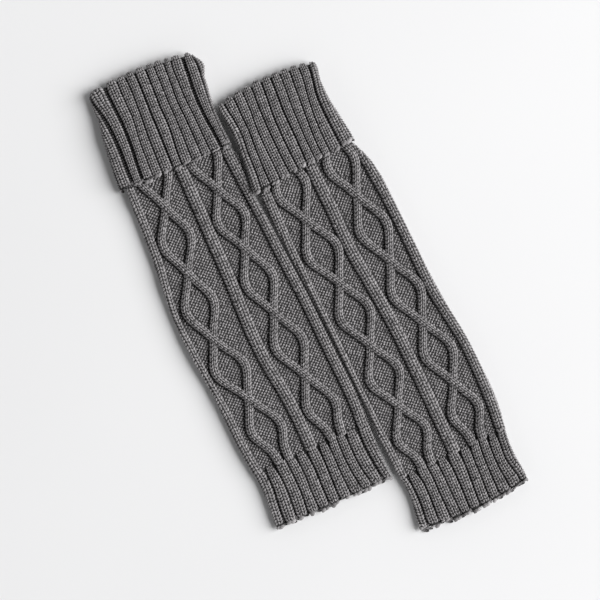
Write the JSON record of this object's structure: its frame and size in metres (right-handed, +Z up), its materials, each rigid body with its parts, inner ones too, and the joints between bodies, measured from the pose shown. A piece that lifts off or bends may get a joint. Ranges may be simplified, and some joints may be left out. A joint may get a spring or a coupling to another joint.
{
  "type": "pair of leg warmers",
  "caption": "Cable-knit tubes for the lower legs with a turned-down ribbed cuff and a ribbed hem, laid flat side by side to be worn or displayed.",
  "frame": {"origin": "centre of the pair's footprint, on the surface that it lies on", "axes": "+Y up the warmers towards their turned cuffs, +Z up from the surface, out of the cabled fronts, +X towards the lower of the two warmers"},
  "size_m": [0.2354, 0.4876, 0.0118],
  "materials": {
    "cuff_rib": "matt melange yarn knitted in a two-by-one rib",
    "cable_knit": "matt melange yarn knitted in cables on a purl ground",
    "hem_rib": "matt melange yarn knitted in a two-by-one rib"
  },
  "bodies": {
    "root": {"left_cuff": "cuff_rib", "left_leg": "cable_knit", "left_hem": "hem_rib", "right_cuff": "cuff_rib", "right_leg": "cable_knit", "right_hem": "hem_rib"}
  },
  "joints": []
}
